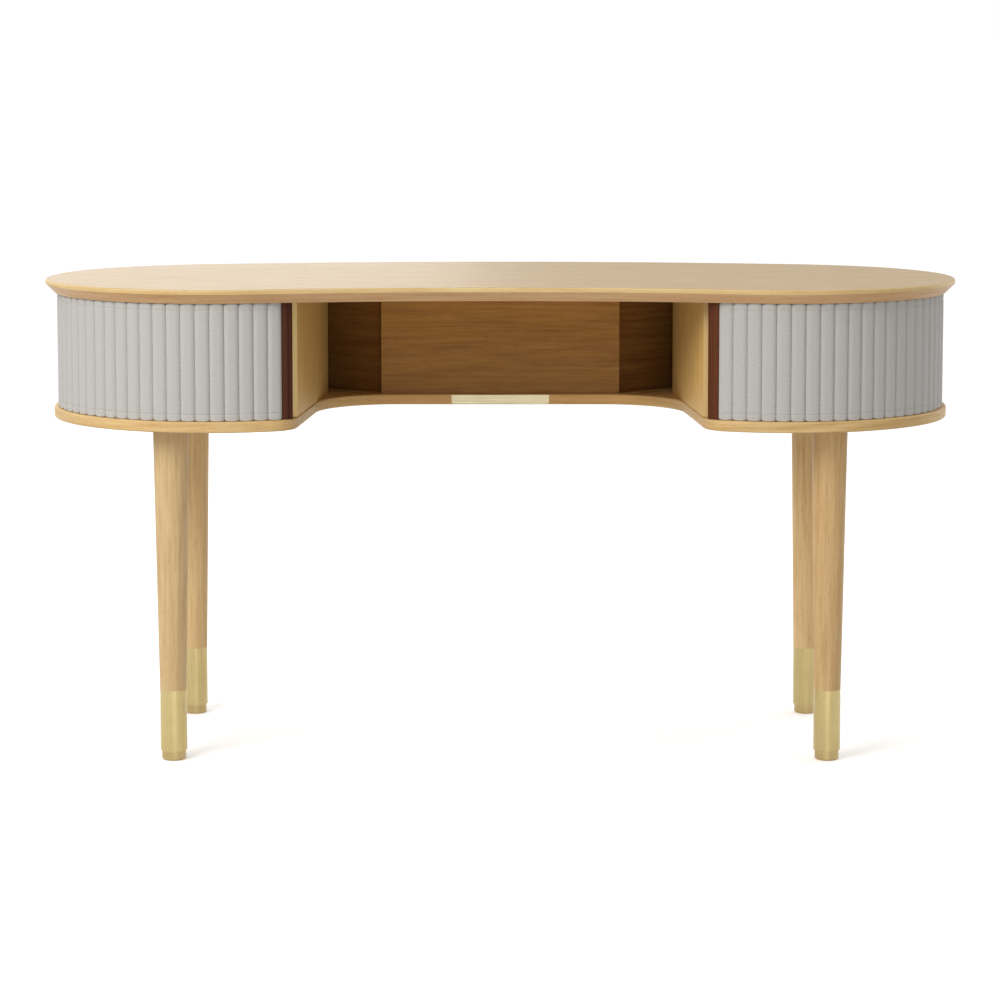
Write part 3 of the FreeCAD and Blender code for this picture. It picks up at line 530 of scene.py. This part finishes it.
def slat_levels(low, high):
    """Levels (z, narrowing, sinking) up one slat: rounded ends, a hem line near each, plain between."""
    end = []
    for step in range(CORNER_STEPS + 1):
        turn = math.pi / 2 * step / CORNER_STEPS
        end.append((CORNER_ROUND * (1 - math.cos(turn)), CORNER_ROUND * (1 - math.sin(turn)), 0.0))
    for offset, sink in HEM_PROFILE:
        end.append((HEM_DISTANCE + offset * HEM_HALF_WIDTH, 0.0, sink * HEM_SINK))
    bottom = [(low + rise, narrow, sink) for rise, narrow, sink in end]
    top = [(high - rise, narrow, sink) for rise, narrow, sink in reversed(end)]
    start = bottom[-1][0]
    gap = (top[0][0] - start) / PLAIN_STEPS
    plain = [(start + gap * step, 0.0, 0.0) for step in range(1, PLAIN_STEPS)]
    return bottom + plain + top


def add_tube(mesh, rings, material_index):
    """Skin a stack of closed rings of vertices, with a cap at each end."""
    count = len(rings[0])
    faces = []
    for below, above in zip(rings, rings[1:]):
        for index in range(count):
            after = (index + 1) % count
            faces.append(mesh.faces.new((below[index], below[after], above[after], above[index])))
    faces.append(mesh.faces.new(rings[0]))
    faces.append(mesh.faces.new(rings[-1]))
    for face in faces:
        face.material_index = material_index


def tambour_axis(side):
    """Centre of one side's circular track."""
    for joint in frame["record"]["behaviour"]["joints"]:
        if joint["name"] == side + "_tambour_track":
            return Vector(joint["pos_m"])


def curtain(side):
    """One side's slats as a single mesh, turned round the tambour's axis."""
    node = side + "_tambour_slats"
    hand = -1 if side == "left" else 1
    axis = tambour_axis(side)
    low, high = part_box(node)
    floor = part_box("base_panel")[1].z + SLAT_PLAY
    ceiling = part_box("desk_top")[0].z - SLAT_PLAY
    face_radius = max(abs(low.x), abs(high.x)) - abs(axis.x)
    back_radius = face_radius - SLAT_THICK
    half_turn = math.tan(math.radians(SLAT_ANGLE / 2))
    half = (face_radius - SLAT_CROWN) * half_turn - SLAT_GAP / 2
    half_back = back_radius * half_turn - SLAT_GAP / 2
    section = slat_section(half, half_back)
    levels = slat_levels(floor, ceiling)
    tongue_half = half_back - TONGUE_SHOULDER
    tongue = (
        (-tongue_half, TONGUE_THICK),
        (tongue_half, TONGUE_THICK),
        (tongue_half, 0.0),
        (-tongue_half, 0.0),
    )
    ends = (
        ((low.z, TONGUE_BEVEL), (low.z + TONGUE_BEVEL, 0.0), (floor + CORNER_ROUND, 0.0)),
        ((ceiling - CORNER_ROUND, 0.0), (high.z - TONGUE_BEVEL, 0.0), (high.z, TONGUE_BEVEL)),
    )
    mesh = bmesh.new()
    flat = {}

    def vertex(angle, across, radius, z):
        x = radius * math.cos(angle) - across * math.sin(angle)
        y = radius * math.sin(angle) + across * math.cos(angle)
        made = mesh.verts.new((axis.x - hand * x, axis.y + y, z))
        flat[made] = (radius * angle + across, z)
        return made

    def wobble(number, across, z):
        shift, layer = (number * step for step in WOBBLE_STEPS)
        place = Vector((across * WOBBLE_ACROSS + shift, z * WOBBLE_UP, layer))
        return noise.noise(place) * CLOTH_WOBBLE

    first = -LEAD_ANGLE - LEAD_SLAT_ANGLE - SLAT_ANGLE / 2
    for number in range(SLAT_COUNT):
        angle = math.radians(first - SLAT_ANGLE * number)
        rings = []
        for z, narrow, sink in levels:
            fit = 1 - narrow / half
            ring = []
            for across, height in section:
                on_face = height > TONGUE_THICK
                rise = wobble(number, across, z) - sink if on_face else 0.0
                ring.append(vertex(angle, across * fit, back_radius + height + rise, z))
            rings.append(ring)
        add_tube(mesh, rings, 0)
        for end in ends:
            rings = []
            for z, narrow in end:
                fit = 1 - narrow / tongue_half
                ring = []
                for across, height in tongue:
                    ring.append(vertex(angle, across * fit, back_radius + height, z))
                rings.append(ring)
            add_tube(mesh, rings, 1)
    bmesh.ops.recalc_face_normals(mesh, faces=mesh.faces)
    layer = mesh.loops.layers.uv.new("cloth")
    for face in mesh.faces:
        for loop in face.loops:
            loop[layer].uv = flat[loop.vert]
    data = bpy.data.meshes.new(side + "_wool_slats")
    mesh.to_mesh(data)
    mesh.free()
    data.shade_smooth()
    data.set_sharp_from_angle(angle=math.radians(SHARP_ANGLE))
    data.materials.append(wool)
    data.materials.append(beech)
    piece = bpy.data.objects.new(side + "_wool_slats", data)
    bpy.context.scene.collection.objects.link(piece)
    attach(piece, side + "_tambour")
    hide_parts(node)


for side in SIDES:
    curtain(side)


# Floor, light and camera, in metres, degrees and millimetres of lens
FLOOR_REACH = 400.0
FLOOR_GLOW = 0.2
# Sky ramps along an axis: from, to, then the brightness at each, where height rises to what depth gives
SKY_SIDEWAYS = (-1.0, 1.0, 1.05, 0.77)
SKY_DEPTH = (-0.9, 0.1, 0.48, 1.13)
SKY_HEIGHT = (-0.4, -0.02, 0.45)
RAMP_SOCKETS = ("From Min", "From Max", "To Min", "To Max")
# Soft lights: name, place, target, width, height, watts
LIGHTS = (
    ("key", (-2.0, -2.5, 2.4), (-0.3, 0.0, 0.55), 1.7, 1.7, 69.0),
    ("low_fill", (0.5, -4.0, 0.5), (-0.2, 0.0, 0.6), 1.6, 0.8, 27.0),
    ("back_sheen", (-1.25, 4.0, 1.4), (-0.3, 0.0, 0.75), 2.4, 1.6, 23.0),
    ("right_rim", (3.0, 2.2, 1.0), (0.4, 0.0, 0.5), 1.5, 1.5, 12.0),
)
CAMERA_PLACE = (0.0, -5.094, 1.130)
CAMERA_PITCH = 5.72
CAMERA_LENS = 113.4
CAMERA_SENSOR = 36.0
CAMERA_SHIFT = (-0.0003, -0.145)


def studio_floor():
    """Wide white floor that takes the desk's shadow but casts none and gives no bounced light."""
    shader = Shader("studio_floor")
    speck = shader.noise(shader.place(), scale=3.0, detail=3.0)
    material = shader.finish({
        "Base Color": shader.mix(speck, *FLOOR),
        "Roughness": 0.9,
        "Specular IOR Level": 0.0,
        "Emission Color": WHITE,
        "Emission Strength": FLOOR_GLOW,
    })
    mesh = bmesh.new()
    bmesh.ops.create_grid(mesh, x_segments=2, y_segments=2, size=FLOOR_REACH)
    data = bpy.data.meshes.new("studio_floor")
    mesh.to_mesh(data)
    mesh.free()
    data.materials.append(material)
    floor = bpy.data.objects.new("studio_floor", data)
    floor.visible_diffuse = False
    floor.visible_shadow = False
    bpy.context.scene.collection.objects.link(floor)


def studio_world():
    """White surroundings: dimmer to the right, behind the camera and below the floor line."""
    world = bpy.data.worlds.new("studio")
    world.use_nodes = True
    nodes = world.node_tree.nodes
    links = world.node_tree.links
    nodes.clear()
    direction = nodes.new("ShaderNodeTexCoord")
    split = nodes.new("ShaderNodeSeparateXYZ")
    links.new(direction.outputs["Generated"], split.inputs[0])
    ramps = []
    for axis, ramp in enumerate((SKY_SIDEWAYS, SKY_DEPTH, SKY_HEIGHT)):
        made = nodes.new("ShaderNodeMapRange")
        links.new(split.outputs[axis], made.inputs["Value"])
        for socket, value in zip(RAMP_SOCKETS, ramp):
            made.inputs[socket].default_value = value
        ramps.append(made)
    sideways, depth, height = ramps
    links.new(depth.outputs[0], height.inputs["To Max"])
    strength = nodes.new("ShaderNodeMath")
    strength.operation = "MULTIPLY"
    links.new(sideways.outputs[0], strength.inputs[0])
    links.new(height.outputs[0], strength.inputs[1])
    sky = nodes.new("ShaderNodeBackground")
    sky.inputs["Color"].default_value = WHITE
    links.new(strength.outputs[0], sky.inputs["Strength"])
    output = nodes.new("ShaderNodeOutputWorld")
    links.new(sky.outputs[0], output.inputs[0])
    bpy.context.scene.world = world


def soft_light(name, place, target, width, height, power):
    """Rectangular light aimed at a point, out of the camera's sight."""
    light = bpy.data.lights.new(name, "AREA")
    light.shape = "RECTANGLE"
    light.size = width
    light.size_y = height
    light.energy = power
    lamp = bpy.data.objects.new(name, light)
    lamp.location = place
    lamp.rotation_euler = (Vector(target) - Vector(place)).to_track_quat("-Z", "Y").to_euler()
    lamp.visible_camera = False
    bpy.context.scene.collection.objects.link(lamp)


def photo_camera():
    """Camera at the photograph's viewing angle."""
    view = bpy.data.cameras.new("camera")
    view.lens = CAMERA_LENS
    view.sensor_width = CAMERA_SENSOR
    view.shift_x, view.shift_y = CAMERA_SHIFT
    camera = bpy.data.objects.new("camera", view)
    camera.location = CAMERA_PLACE
    camera.rotation_euler = (math.radians(90.0 - CAMERA_PITCH), 0.0, 0.0)
    bpy.context.scene.collection.objects.link(camera)
    bpy.context.scene.camera = camera


studio_floor()
studio_world()
for light in LIGHTS:
    soft_light(*light)
photo_camera()
bpy.context.scene.view_settings.view_transform = "Standard"
